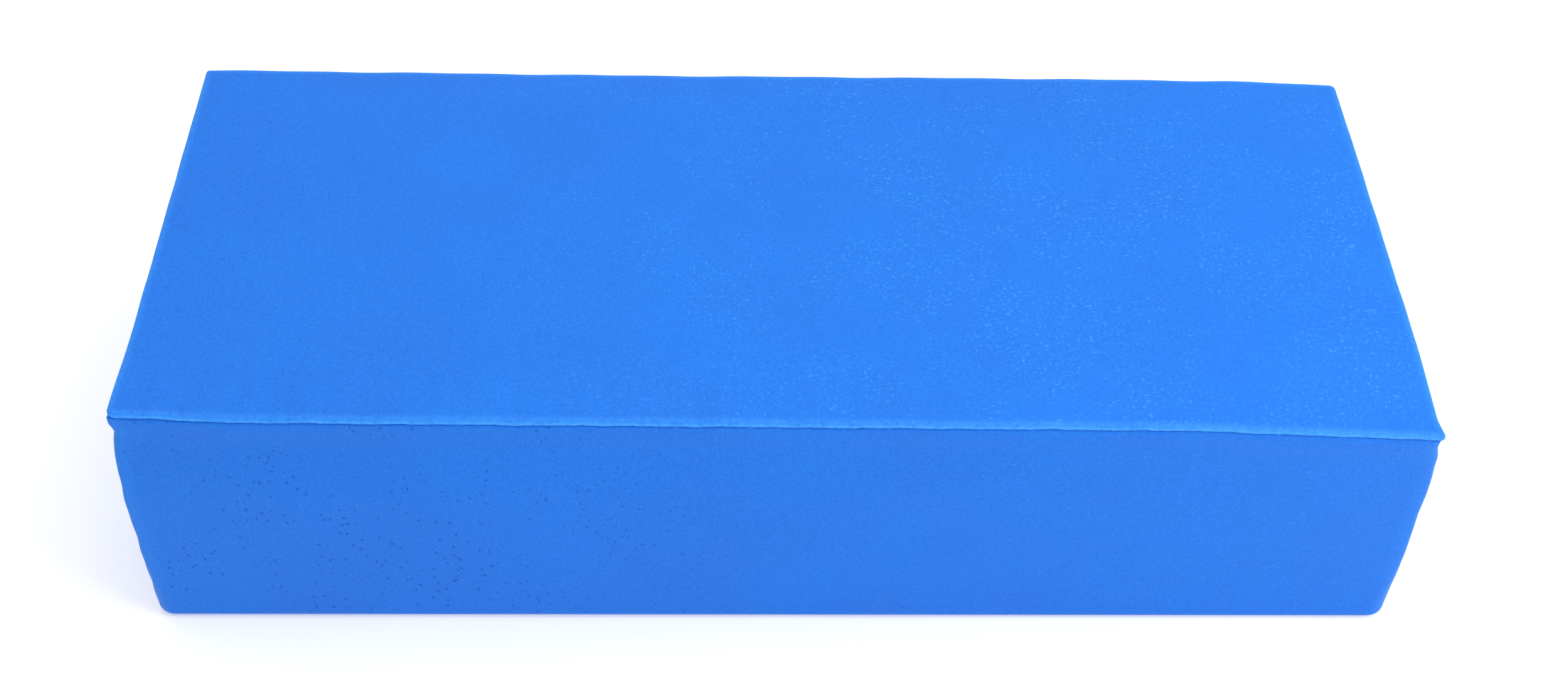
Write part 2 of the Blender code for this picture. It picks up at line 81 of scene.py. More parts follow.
TEETH_LOW, TEETH_HIGH = box("zip_teeth_upper")
TEETH_FACE = HALF_Y - TEETH_HIGH[1]
FOAM_LOW, FOAM_HIGH = box("foam_core")

# Spacing of the meshes
FINE = 0.0005
COARSE = 0.0032
FOLDED = 0.0012  # along the path of a sheet that shows its fold
ALONG_TOP = 0.0018  # along the top panel, whose edge wavers
GROWTH = 1.22  # each step of a graded line is this much longer than the one nearer the edge
BLEND = 0.0215  # within this distance of a corner, points keep their share of the way as they move in
ROUND_STEP = math.radians(15)

# Corner radii in plan. The lip's are for the corners (-x,-y), (-x,+y), (+x,-y), (+x,+y).
LIP_CORNERS = (0.0034, 0.0016, 0.0015, 0.0030)
WALL_CORNER_HIGH = 0.0028
WALL_CORNER_LOW = 0.0080

# Stitches
STITCH_PITCH = 0.0033
STITCH_LENGTH = 0.0027
STITCH_RADIUS = 0.00024
STITCH_DIP = 0.00012
STITCH_STEPS = 6  # points along each stitch of a seam's thread

# The zip's coils
COIL_PITCH = 0.0015
COIL_WIRE = 0.00024  # radius
COIL_STEPS = 14  # points round each turn
ZIP_HEAD = TEETH_LOW[2] - ZIP_Z - 0.00015  # how far from the zip's middle the turns end

SWELL_LIMIT = 0.0022  # the most that the cover swells
SWELL_FRAMES = 20
WALL_SHARE = 0.5  # how much of the swell the walls take
SEED = 11

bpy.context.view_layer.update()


# Layout on the plain block


def graded(half, coarse=COARSE):
    """Places from -half to half, closest together at both ends."""
    steps = [0.0]
    step = FINE
    while step < coarse:
        steps.append(steps[-1] + step)
        step *= GROWTH
    edge = np.array(steps)
    inner = half - edge[-1]
    middle = np.linspace(-inner, inner, 2 * math.ceil(inner / coarse) + 1)
    return np.concatenate([edge - half, middle[1:-1], half - edge[::-1]])


def rim(xs, ys):
    """The cells round the edge of a grid, anticlockwise from its lowest corner."""
    last_x, last_y = len(xs) - 1, len(ys) - 1
    cells = [(i, 0) for i in range(last_x)] + [(last_x, j) for j in range(last_y)]
    cells += [(i, last_y) for i in range(last_x, 0, -1)] + [(0, j) for j in range(last_y, 0, -1)]
    return cells


def outline_all_round():
    """Points all round the pad's outline, corners square."""
    xs, ys = graded(HALF_X), graded(HALF_Y)
    return np.array([(xs[i], ys[j]) for i, j in rim(xs, ys)])


def outline_past_gusset():
    """The same from the gusset's -X end round the front to its +X end."""
    xs, ys = graded(HALF_X), graded(HALF_Y)
    beside_stitches = np.arange(-GUSSET_HALF, -GUSSET_HALF - 0.012, -0.001)
    corner = xs[xs < beside_stitches[-1] - FINE]
    left = [(x, HALF_Y) for x in np.concatenate([beside_stitches, corner[::-1]])]
    down = [(-HALF_X, y) for y in ys[-2:0:-1]]
    front = [(x, -HALF_Y) for x in xs]
    up = [(HALF_X, y) for y in ys[1:-1]]
    right = [(-x, y) for x, y in left[::-1]]
    return np.array(left + down + front + up + right)


def outline_along_back(start, end, step):
    """Points along the back wall."""
    count = math.ceil((end - start) / step) + 1
    return np.array([(x, HALF_Y) for x in np.linspace(start, end, count)])


def moved_in(plan, inset):
    """Points on the pad's outline moved in by the inset."""
    size = np.abs(plan)
    from_edge = HALF - size
    moved = HALF - inset - from_edge * (1 - inset / BLEND)
    return np.sign(plan) * np.where(from_edge < BLEND, moved, size)


def fold_path(start, corners, end, spacing=COARSE):
    """A path of (inset, height) points with an arc at each corner and its straight runs cut up evenly."""
    points = [Vector(start)]
    knots = [Vector(start)] + [Vector(point) for point, _ in corners] + [Vector(end)]
    for i, (corner, radius) in enumerate(corners, start=1):
        corner = Vector(corner)
        into = (corner - knots[i - 1]).normalized()
        turn = into.angle_signed((knots[i + 1] - corner).normalized())
        first = corner - into * radius * math.tan(abs(turn) / 2)
        side = Vector((-into.y, into.x)) * (-1 if turn > 0 else 1)
        spoke = -side * radius
        steps = math.ceil(abs(turn) / ROUND_STEP)
        for k in range(steps + 1):
            angle = -turn * k / steps
            cos, sin = math.cos(angle), math.sin(angle)
            turned = Vector((spoke.x * cos - spoke.y * sin, spoke.x * sin + spoke.y * cos))
            points.append(first + side * radius + turned)
    points.append(Vector(end))
    path = [points[0]]
    for point in points[1:]:
        run = point - path[-1]
        if run.length < 1e-6:
            continue
        pieces = math.ceil(run.length / spacing)
        begin = path[-1].copy()
        path += [begin + run * k / pieces for k in range(1, pieces + 1)]
    return path


def sheet_outline(path):
    """The closed outline of a sheet whose middle is the path: down one side and back up the other."""
    points = np.array(path)
    ahead = np.diff(points, axis=0)
    ahead /= np.linalg.norm(ahead, axis=1)[:, None]
    before, after = np.vstack([ahead[:1], ahead]), np.vstack([ahead, ahead[-1:]])
    along = before + after
    along /= np.linalg.norm(along, axis=1)[:, None]
    normal = np.column_stack([-along[:, 1], along[:, 0]])
    square = np.column_stack([-before[:, 1], before[:, 0]])
    reach = SHEET / 2 / np.clip((normal * square).sum(axis=1), 0.2, 1)
    offset = normal * reach[:, None]
    return np.vstack([points + offset, (points - offset)[::-1]])


def laid(outline, plan):
    """Points of each outline place swept along the plan, as rows x plan x 3."""
    rows = [np.column_stack([moved_in(plan, inset), np.full(len(plan), height)]) for inset, height in outline]
    return np.array(rows)


def strip_faces(rows, columns, wrap_rows, wrap_columns):
    """Quads between neighbouring points of a grid."""
    index = np.arange(rows * columns).reshape(rows, columns)
    if wrap_rows:
        index = np.vstack([index, index[:1]])
    if wrap_columns:
        index = np.hstack([index, index[:, :1]])
    quads = np.stack([index[:-1, :-1], index[:-1, 1:], index[1:, 1:], index[1:, :-1]], axis=-1)
    return quads.reshape(-1, 4)


def swept(outline, plan, closed):
    """A closed outline swept along the plan. An open sweep ends in faces across the sheet."""
    rows, columns = len(outline), len(plan)
    faces = strip_faces(rows, columns, True, closed).tolist()
    if not closed:
        for column in (0, columns - 1):
            for row in range(rows // 2 - 1):
                pair = (row, row + 1, rows - 2 - row, rows - 1 - row)
                faces.append([r * columns + column for r in pair])
    return laid(outline, plan).reshape(-1, 3), faces


def panel(outline, coarse):
    """A closed sheet over the whole pad: the outline swept all round, and a grid across each of its ends."""
    xs, ys = graded(HALF_X, coarse), graded(HALF_Y)
    cells = rim(xs, ys)
    plan = np.array([(xs[i], ys[j]) for i, j in cells])
    points = list(laid(outline, plan).reshape(-1, 3))
    faces = strip_faces(len(outline), len(plan), False, True).tolist()
    for row in (0, len(outline) - 1):
        inset, height = outline[row]
        index = {cell: row * len(plan) + k for k, cell in enumerate(cells)}
        inner_x = moved_in(np.column_stack([xs, np.full(len(xs), HALF_Y)]), inset)[:, 0]
        inner_y = moved_in(np.column_stack([np.full(len(ys), HALF_X), ys]), inset)[:, 1]
        for i in range(1, len(xs) - 1):
            for j in range(1, len(ys) - 1):
                index[i, j] = len(points)
                points.append((inner_x[i], inner_y[j], height))
        for i in range(len(xs) - 1):
            for j in range(len(ys) - 1):
                faces.append([index[i, j], index[i + 1, j], index[i + 1, j + 1], index[i, j + 1]])
    return np.array(points), faces


def block(lines):
    """The closed skin of a block, with points where three sets of lines meet its faces."""
    index, points, faces = {}, [], []
    last = [len(line) - 1 for line in lines]

    def corner(axis, end, other, i, third, j):
        cell = [0, 0, 0]
        cell[axis], cell[other], cell[third] = end, i, j
        cell = tuple(cell)
        if cell not in index:
            index[cell] = len(points)
            points.append([line[k] for line, k in zip(lines, cell)])
        return index[cell]

    for axis in range(3):
        other, third = (axis + 1) % 3, (axis + 2) % 3
        for end in (0, last[axis]):
            for i in range(last[other]):
                for j in range(last[third]):
                    around = ((i, j), (i + 1, j), (i + 1, j + 1), (i, j + 1))
                    faces.append([corner(axis, end, other, a, third, b) for a, b in around])
    return np.array(points), faces, index


def tube(path, radius, sides=8, closed=False):
    """A round thread along a path of 3D points, with flat ends."""
    path = np.asarray(path)
    if closed:
        along = np.roll(path, -1, axis=0) - np.roll(path, 1, axis=0)
    else:
        along = np.gradient(path, axis=0)
    along /= np.linalg.norm(along, axis=1)[:, None]
    reference = np.array([0.0, 0.57, 0.82])
    across = np.cross(along, reference)
    across /= np.linalg.norm(across, axis=1)[:, None]
    third = np.cross(along, across)
    angles = np.arange(sides) * 2 * math.pi / sides
    ring = across[:, None] * np.cos(angles)[:, None] + third[:, None] * np.sin(angles)[:, None]
    points = (path[:, None] + ring * radius).reshape(-1, 3)
    faces = strip_faces(len(path), sides, closed, True).tolist()
    if not closed:
        faces += [list(range(sides))[::-1], [(len(path) - 1) * sides + k for k in range(sides)]]
    return points, faces


def together(parts):
    """Several (points, faces) as one."""
    points, faces, start = [], [], 0
    for part_points, part_faces in parts:
        points.append(part_points)
        faces += [[start + i for i in face] for face in part_faces]
        start += len(part_points)
    return np.vstack(points), faces


# The change of shape


def fade(value, start, end):
    """Smoothly from 1 at start to 0 at end."""
    share = np.clip((value - start) / (end - start), 0, 1)
    return 1 - share * share * (3 - 2 * share)


def ripple(places, lengths, seed):
    """A smooth uneven wave with waves of about the given lengths, from -1 to 1."""
    draw = random.Random(seed)
    total = np.zeros_like(places)
    for length in lengths:
        phase, stretch = draw.uniform(0, 2 * math.pi), draw.uniform(0.85, 1.15)
        total += np.sin(2 * math.pi * places / (length * stretch) + phase)
    return total / len(lengths)


def rounded(points, radii):
    """Turns the square corners in plan into round ones. radii holds one radius, or one a point, for each."""
    result = points.copy()
    signs = ((-1, -1), (-1, 1), (1, -1), (1, 1))
    for sign, radius in zip(np.array(signs), radii):
        centre = sign * (HALF - np.broadcast_to(radius, len(points))[:, None])
        out = (points[:, :2] - centre) * sign
        inside = (out > 0).all(axis=1)
        reach = out[inside].max(axis=1) / np.linalg.norm(out[inside], axis=1)
        result[inside, :2] = centre[inside] + out[inside] * reach[:, None] * sign
    return result


def wall_corners(points):
    """The walls' corner radii in plan, which grow towards the foot."""
    radius = WALL_CORNER_HIGH + (WALL_CORNER_LOW - WALL_CORNER_HIGH) * fade(points[:, 2], 0.0, 0.045)
    return (radius,) * 4


class Swell:
    """How far the cover swells, face by face, on even grids."""

    def __init__(self):
        self.lines = [np.linspace(-HALF_X, HALF_X, 65), np.linspace(-HALF_Y, HALF_Y, 29)]
        self.lines.append(np.linspace(0, HEIGHT, 17))
        self.points, self.faces, self.index = block(self.lines)
        self.moved = self.simulated()
        self.grids = {}
        for axis in range(3):
            for end in (0, 1):
                self.grids[axis, end] = self.face_grid(axis, end)

    def held(self):
        """1 for the points that the seams, the corners, the zip or the surface underneath hold still."""
        x, y, z = np.abs(self.points[:, 0]), self.points[:, 1], self.points[:, 2]
        tight = 0.001
        at_end, at_side, at_back = x > HALF_X - tight, np.abs(y) > HALF_Y - tight, y > HALF_Y - tight
        edge = (at_end & at_side) | ((at_end | at_side) & (z > HEIGHT - tight))
        beside_zip = np.abs(z - ZIP_Z) < 0.018
        past_end_seam = x > GUSSET_HALF - 0.012
        return edge | (at_back & (beside_zip | past_end_seam)) | (z < 0.010)

    def plain(self):
        share = self.points / (HALF_X, HALF_Y, HEIGHT / 2)
        share[:, 2] -= 1
        rise = np.prod(1 - np.clip(share, -1, 1)[:, :2] ** 4, axis=1)
        moved = np.zeros_like(self.points)
        moved[:, 2] = SWELL_LIMIT * rise * (self.points[:, 2] > HEIGHT - 0.001)
        return moved

    def simulated(self):
        """The swell of the cover over its foam, as a cloth under pressure held at its seams."""
        mesh = bpy.data.meshes.new("cover_form")
        mesh.from_pydata(self.points.tolist(), [], self.faces)
        data = bmesh.new()
        data.from_mesh(mesh)
        bmesh.ops.recalc_face_normals(data, faces=data.faces)
        data.to_mesh(mesh)
        data.free()
        form = bpy.data.objects.new("cover_form", mesh)
        bpy.context.scene.collection.objects.link(form)
        group = form.vertex_groups.new(name="held")
        group.add(np.flatnonzero(self.held()).tolist(), 1.0, "REPLACE")

        cloth = form.modifiers.new("cloth", "CLOTH")
        cloth.settings.quality = 6
        cloth.settings.mass = 0.3
        cloth.settings.tension_stiffness = 25
        cloth.settings.compression_stiffness = 25
        cloth.settings.shear_stiffness = 15
        cloth.settings.bending_stiffness = 2
        cloth.settings.use_pressure = True
        cloth.settings.uniform_pressure_force = 4
        cloth.settings.vertex_group_mass = "held"
        cloth.settings.effector_weights.gravity = 0
        cloth.collision_settings.use_collision = False
        cloth.point_cache.frame_start = 1
        cloth.point_cache.frame_end = SWELL_FRAMES
        scene = bpy.context.scene
        for step in range(1, SWELL_FRAMES + 1):
            scene.frame_set(step)
        result = form.evaluated_get(bpy.context.evaluated_depsgraph_get()).to_mesh()
        places = np.empty(len(self.points) * 3, np.float32)
        result.vertices.foreach_get("co", places)
        bpy.data.objects.remove(form, do_unlink=True)
        scene.frame_set(1)
        moved = places.reshape(-1, 3).astype(float) - self.points
        far = np.linalg.norm(moved, axis=1)
        return moved * (SWELL_LIMIT * np.tanh(far / SWELL_LIMIT) / np.maximum(far, 1e-9))[:, None]

    def face_grid(self, axis, end):
        """The outward swell on one face, as a grid over the other two axes."""
        other, third = [a for a in range(3) if a != axis]
        grid = np.zeros((len(self.lines[other]), len(self.lines[third])))
        last = len(self.lines[axis]) - 1
        for cell, k in self.index.items():
            if cell[axis] == end * last:
                grid[cell[other], cell[third]] = self.moved[k][axis] * (1 if end else -1)
        return grid

    def at(self, axis, end, places):
        """The outward swell of one face beside each place."""
        other, third = [a for a in range(3) if a != axis]
        grid = self.grids[axis, end]
        first, second = self.lines[other], self.lines[third]
        a = np.clip((places[:, other] - first[0]) / (first[1] - first[0]), 0, len(first) - 1.001)
        b = np.clip((places[:, third] - second[0]) / (second[1] - second[0]), 0, len(second) - 1.001)
        i, j = a.astype(int), b.astype(int)
        u, v = a - i, b - j
        low = grid[i, j] * (1 - u) + grid[i + 1, j] * u
        high = grid[i, j + 1] * (1 - u) + grid[i + 1, j + 1] * u
        return low * (1 - v) + high * v


swell = Swell()


def ridge_height(x, y):
    """How far the top's edge stands above or below its plane, at the front, at the back and at the ends.

    The front rises to its -X corner and falls to its +X corner. Every edge wavers, as a sewn one does.
    """
    front = 0.0008 + 0.0020 * fade(x + HALF_X, 0.0, 0.055) - 0.0036 * fade(HALF_X - x, 0.0, 0.110)
    front += 0.00030 * ripple(x, (0.055, 0.031, 0.017), SEED)
    front += 0.00016 * ripple(x, (0.0110, 0.0074, 0.0049), SEED + 1)
    back = 0.0012 * fade(-x, -0.15, 0.10) - 0.0015 * fade(HALF_X - x, 0.0, 0.050)
    back += 0.00025 * ripple(x, (0.070, 0.033), SEED + 2)
    ends = 0.00025 * ripple(y, (0.045, 0.024), SEED + 3)
    near_front, near_back = fade(y + HALF_Y, 0.0, 0.050), fade(HALF_Y - y, 0.0, 0.050)
    near_ends = fade(HALF_X - np.abs(x), 0.0, 0.030)
    return front * near_front + back * near_back + ends * near_ends * (1 - near_front) * (1 - near_back)


def lip_pull(points):
    """How far the lip moves: it droops along the front, and its front corner at +X is drawn out."""
    from_front = HALF_Y + points[:, 1]
    ear = fade(np.hypot(HALF_X - points[:, 0], from_front), 0.0, 0.010)
    return np.column_stack([0.0013 * ear, -0.0004 * ear, -0.0004 * fade(from_front, 0.0003, 0.0018)])


def fullness(x, y, depth):
    """How far out the walls stand, at -X, at +X and at the front. The seam under the lip pulls them in.

    depth is measured down from the seam. At the front corners the turned-in allowances lie on each other and
    push the walls out into a knob under the lip.
    """
    at_corner = fade(y + HALF_Y, 0.010, 0.035)
    knob = at_corner * fade(depth, 0.0030, 0.0070)
    by_seam = fade(depth, 0.003, 0.012)
    left = 0.0013 * (1 - fade(depth, 0.008, 0.020)) - 0.0011 * (1 - knob) * by_seam
    left += 0.0009 * knob - 0.0010 * (1 - fade(depth, 0.040, 0.070))
    right = 0.0005 + 0.0017 * (1 - by_seam) + 0.0006 * fade(np.abs(depth - 0.030), 0.0, 0.018)
    right += 0.0006 * at_corner * fade(depth, 0.0015, 0.0035)
    front = (0.0013 - 0.006 * x) * (1 - fade(depth, 0.005, 0.040)) + 0.0007 * fade(depth, 0.002, 0.012)

    # Puckers beside the seam, and a little unevenness down the front corners
    pucker = 0.00012 * fade(depth, 0.0, 0.007)
    left += pucker * ripple(y, (0.021, 0.0105, 0.0062), SEED + 5)
    right += pucker * ripple(y, (0.021, 0.0105, 0.0062), SEED + 6)
    front += pucker * ripple(x, (0.023, 0.0115, 0.0060), SEED + 7)
    left += 0.00022 * at_corner * ripple(depth, (0.026, 0.0145), SEED + 8)
    right += 0.00007 * at_corner * ripple(depth, (0.024, 0.0135), SEED + 9)
    return left, right, front


def stitch_dip(x, z):
    """How far the back wall is drawn in by its rows of stitches, most at each stitch's ends."""
    reach, run_out = 0.0012, 0.002
    total = np.zeros_like(x)
    for word in ("upper", "lower", "left", "right"):
        low, high = box("topstitch_" + word)
        level = word in ("upper", "lower")
        along, across = (x, z) if level else (z, x)
        first, last = (low[0], high[0]) if level else (low[2], high[2])
        middle = (low[2] + high[2]) / 2 if level else (low[0] + high[0]) / 2
        wave = 1 + 0.5 * np.cos((along - first) * 2 * math.pi / STITCH_PITCH)
        beside = np.exp(-((across - middle) / reach) ** 2)
        within = fade(first - along, 0.0, run_out) * fade(along - last, 0.0, run_out)
        total += STITCH_DIP * wave * beside * within
    return total


def shaped(points, lip=False):
    """Carries points laid out on the plain block to where they are on the real, soft pad."""
    plain = rounded(points, LIP_CORNERS if lip else wall_corners(points))
    x, y, z = plain.T
    result = plain.copy()
    # What changes a face's shape acts in full down to the skin's depth, and not at all below the core's.
    skin, core = 0.004, 0.040
    near_x = fade(HALF_X - np.abs(x), skin, core)
    near_y = fade(HALF_Y - np.abs(y), skin, core)
    near_top = fade(HEIGHT - z, skin, core)
    result[:, 2] += near_top * (swell.at(2, 1, plain) + ridge_height(x, y))
    for axis, near in ((0, near_x), (1, near_y)):
        for end, sign in ((0, -1), (1, 1)):
            side = (plain[:, axis] * sign) > 0
            out = sign * near * WALL_SHARE * swell.at(axis, end, plain)
            result[:, axis] += np.where(side, out, 0)
    if lip:
        return result + lip_pull(plain)
    left, right, front = fullness(x, y, HOOK_Z - z)
    result[:, 0] += near_x * np.where(x < 0, -left, right)
    result[:, 1] -= near_y * np.where(y < 0, front, stitch_dip(x, z))
    return result


# Objects


def place(name, points, faces, finish, replaced, sharp=40):
    """Links a closed mesh as a piece of the pad, with the material of its finish."""
    mesh = bpy.data.meshes.new(name)
    mesh.from_pydata(np.asarray(points).tolist(), [], [list(face) for face in faces])
    data = bmesh.new()
    data.from_mesh(mesh)
    bmesh.ops.recalc_face_normals(data, faces=data.faces)
    data.to_mesh(mesh)
    data.free()
    made, slot = finish
    mesh.materials.append(made)
    mesh.shade_smooth()
    mesh.set_sharp_from_angle(angle=math.radians(sharp))
    thing = bpy.data.objects.new(name, mesh)
    bpy.context.scene.collection.objects.link(thing)
    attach(thing, "pad")
    if replaced:
        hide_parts(replaced)
    return thing


def mark_wear_and_highlight(thing, amounts):
    """Keeps how worn each point is, and how much painted highlight lightens it, for the material."""
    layer = thing.data.attributes.new("wear_and_highlight", "FLOAT", "POINT")
    layer.data.foreach_set("value", np.asarray(amounts, np.float32))


# Materials


class Nodes:
    """A node material in the making, with short names for its nodes. Scales are cells or waves a metre."""

    def __init__(self, name):
        self.made = bpy.data.materials.new(name)
        self.made.use_nodes = True
        self.tree = self.made.node_tree
        self.shader = self.tree.nodes["Principled BSDF"]
        self.place = self.add("ShaderNodeTexCoord").outputs["Object"]

    def add(self, kind, **settings):
        node = self.tree.nodes.new(kind)
        for key, value in settings.items():
            setattr(node, key, value)
        return node

    def put(self, socket, value):
        if isinstance(value, bpy.types.NodeSocket):
            self.tree.links.new(value, socket)
        elif isinstance(value, tuple) and len(value) == 3 and socket.type == "RGBA":
            socket.default_value = (*value, 1.0)
        else:
            socket.default_value = value

    def set(self, **values):
        for key, value in values.items():
            self.put(self.shader.inputs[key.replace("_", " ")], value)

    def math(self, operation, first, second=0.0):
        node = self.add("ShaderNodeMath", operation=operation)
        self.put(node.inputs[0], first)
        self.put(node.inputs[1], second)
        return node.outputs[0]

    def times(self, first, second):
        return self.math("MULTIPLY", first, second)

    def split(self, vector):
        node = self.add("ShaderNodeSeparateXYZ")
        self.put(node.inputs[0], vector)
        return node.outputs

    def moved(self, offset=(0, 0, 0), stretch=(1, 1, 1)):
        node = self.add("ShaderNodeMapping")
        self.put(node.inputs["Vector"], self.place)
        node.inputs["Location"].default_value = offset
        node.inputs["Scale"].default_value = stretch
        return node.outputs["Vector"]

    def noise(self, scale, detail=2.0, roughness=0.5, vector=None):
        node = self.add("ShaderNodeTexNoise")
        self.put(node.inputs["Vector"], vector or self.place)
        node.inputs["Scale"].default_value = scale
        node.inputs["Detail"].default_value = detail
        node.inputs["Roughness"].default_value = roughness
        return node.outputs["Fac"]

    def cells(self, scale, vector=None):
        node = self.add("ShaderNodeTexVoronoi")
        self.put(node.inputs["Vector"], vector or self.place)
        node.inputs["Scale"].default_value = scale
        return node.outputs["Distance"]

    def wave(self, scale, axis, distortion):
        node = self.add("ShaderNodeTexWave", bands_direction=axis)
        self.put(node.inputs["Vector"], self.place)
        node.inputs["Scale"].default_value = scale
        node.inputs["Distortion"].default_value = distortion
        return node.outputs["Fac"]

    def span(self, value, low, high, to_low=0.0, to_high=1.0):
        node = self.add("ShaderNodeMapRange", interpolation_type="SMOOTHSTEP")
        for name, amount in (("Value", value), ("From Min", low), ("From Max", high),
                             ("To Min", to_low), ("To Max", to_high)):
            self.put(node.inputs[name], amount)
        return node.outputs["Result"]

    def mix(self, share, first, second):
        node = self.add("ShaderNodeMix", data_type="RGBA")
        self.put(node.inputs[0], share)
        self.put(node.inputs[6], first)
        self.put(node.inputs[7], second)
        return node.outputs[2]

    def attribute(self, name):
        return self.add("ShaderNodeAttribute", attribute_name=name).outputs["Fac"]

    def bump(self, height, depth, strength):
        node = self.add("ShaderNodeBump")
        self.put(node.inputs["Height"], height)
        node.inputs["Distance"].default_value = depth
        node.inputs["Strength"].default_value = strength
        self.put(self.shader.inputs["Normal"], node.outputs["Normal"])


BLUE = (0.0085, 0.1590, 0.675)
BLUE_PATCH = (0.0095, 0.1720, 0.710)
# Painted highlight for the glints and along the lip's edge, where it is also the colour of wear
PALE_BLUE = (0.045, 0.300, 0.860)
# Painted shade in the grain's hollows
HOLLOW_SHADE_BLUE = (0.0045, 0.095, 0.500)
# Painted shade in the pits
SHADED_PIT_BLUE = (0.0030, 0.060, 0.380)
THREAD_BLUE = (0.006, 0.110, 0.540)
# A guess at grey foam, kept dark partly as painted shade in the gap between the zip's coils, where the foam
# shows
FOAM_GREY = (0.085, 0.092, 0.105)
NICKEL = (0.620, 0.610, 0.590)


def leathercloth():
    """PVC-coated cloth: a fine pebble grain with painted shade in its hollows, small pits painted dark as
    shade, and lighter flecks painted as glints where light catches the grain.
    """
    nodes = Nodes("leathercloth")
    pebbles = nodes.cells(820.0)
    fine = nodes.noise(2600.0, 3.0, 0.6)
    patches = nodes.noise(17.0, 4.0, 0.55)
    clusters = nodes.noise(26.0, 3.0, 0.6, nodes.moved((0.31, 0.12, 0.07)))
    along = nodes.split(nodes.place)["X"]
    facing_up = nodes.split(nodes.add("ShaderNodeNewGeometry").outputs["Normal"])["Z"]
    on_top = nodes.span(facing_up, 0.4, 0.8)

    # Pits: ragged dots in clusters, dented in by the bump and painted dark as shade, more of them on the
    # walls and towards -X, the side away from the key light
    ragged = nodes.times(nodes.math("SUBTRACT", nodes.noise(1300.0, 2.0), 0.5), 0.36)
    shaded_pit = nodes.cells(340.0, nodes.moved((0.013, 0.027, 0.041), (1.0, 1.0, 0.7)))
    shaded_pit = nodes.span(nodes.math("ADD", shaded_pit, ragged), 0.11, 0.24, 1.0, 0.0)
    shaded_pit = nodes.times(shaded_pit, nodes.span(clusters, 0.38, 0.58))
    shaded_pit = nodes.times(shaded_pit, nodes.span(along, -0.17, 0.05, 1.0, 0.15))
    shaded_pit = nodes.times(shaded_pit, nodes.math("SUBTRACT", 1.0, nodes.times(on_top, 0.65)))

    # Painted glints: lighter flecks between the clusters of pits, raised a little in the bump, more of them
    # on the top and towards +X, where the key light falls
    painted_glint = nodes.span(nodes.noise(620.0, 2.0, 0.55, nodes.moved((0.041, 0.019, 0.003))), 0.57, 0.70)
    painted_glint = nodes.times(painted_glint, nodes.span(clusters, 0.64, 0.44))
    painted_glint = nodes.times(painted_glint, nodes.span(along, -0.16, 0.08, 0.25, 1.0))
    painted_glint = nodes.times(painted_glint, nodes.math("ADD", 0.3, nodes.times(on_top, 0.7)))

    uneven = nodes.span(nodes.noise(420.0, 3.0, 0.7), 0.30, 0.62, 0.45, 1.0)
    colour = nodes.mix(nodes.span(patches, 0.30, 0.70), BLUE, BLUE_PATCH)
    # Painted shade: darker in the hollows between the pebbles
    colour = nodes.mix(nodes.times(nodes.span(pebbles, 0.20, 0.70), 0.28), colour, HOLLOW_SHADE_BLUE)
    # Painted shade in the pits
    colour = nodes.mix(nodes.times(shaded_pit, 0.75), colour, SHADED_PIT_BLUE)
    # Painted glints
    colour = nodes.mix(nodes.times(painted_glint, 0.50), colour, PALE_BLUE)
    # Wear and painted highlight along the lip's edge
    colour = nodes.mix(nodes.times(nodes.attribute("wear_and_highlight"), uneven), colour, PALE_BLUE)
    height = nodes.math("SUBTRACT", nodes.times(fine, 0.30), nodes.times(pebbles, 0.70))
    height = nodes.math("SUBTRACT", height, nodes.times(shaded_pit, 1.20))
    height = nodes.math("ADD", height, nodes.times(painted_glint, 0.60))
    nodes.set(Base_Color=colour, Roughness=nodes.span(patches, 0.3, 0.7, 0.46, 0.56))
    nodes.set(Specular_IOR_Level=0.18)
    nodes.bump(height, 0.00016, 0.7)
    return nodes.made, "leathercloth"


def thread():
    """Polyester thread: the twist shows as slanting bands."""
    nodes = Nodes("sewing_thread")
    twist = nodes.wave(900.0, "DIAGONAL", 0.6)
    # Painted shade: darker in the grooves of the twist
    colour = nodes.mix(nodes.times(twist, 0.5), THREAD_BLUE, (0.010, 0.150, 0.660))
    nodes.set(Base_Color=colour, Roughness=0.55, Sheen_Weight=0.15)
    nodes.bump(twist, 0.00006, 0.7)
    return nodes.made, "thread"


def tape_weave():
    """Woven tape: a herringbone of slanting ribs, over a finer warp that runs along the tape."""
    nodes = Nodes("zip_tape")
    stripe, rib, warp_pitch = 0.00105, 0.00062, 0.00042
    at = nodes.split(nodes.place)
    slant = nodes.math("ADD", at["X"], nodes.math("PINGPONG", at["Z"], stripe))
    ribs = nodes.math("SINE", nodes.times(slant, 2 * math.pi / rib))
    warp = nodes.math("SINE", nodes.times(at["Z"], 2 * math.pi / warp_pitch))
    height = nodes.math("ADD", nodes.times(ribs, 0.6), nodes.times(warp, 0.4))
    # Painted shade: darker in the grooves between the ribs
    colour = nodes.mix(nodes.span(height, -1.0, 1.0), (0.003, 0.060, 0.330), (0.006, 0.105, 0.510))
    nodes.set(Base_Color=colour, Roughness=0.78, Sheen_Weight=0.2)
    nodes.bump(height, 0.00006, 0.6)
    return nodes.made, "zip_tape"


def nylon():
    """Nylon monofilament: smooth, with faint drawing marks."""
    nodes = Nodes("nylon_coil")
    marks = nodes.noise(900.0, 2.0)
    colour = nodes.mix(marks, (0.003, 0.075, 0.400), (0.006, 0.105, 0.520))
    nodes.set(Base_Color=colour, Roughness=nodes.span(marks, 0.3, 0.7, 0.26, 0.40))
    nodes.bump(nodes.noise(4000.0, 2.0), 0.00002, 0.4)
    return nodes.made, "zip_teeth"


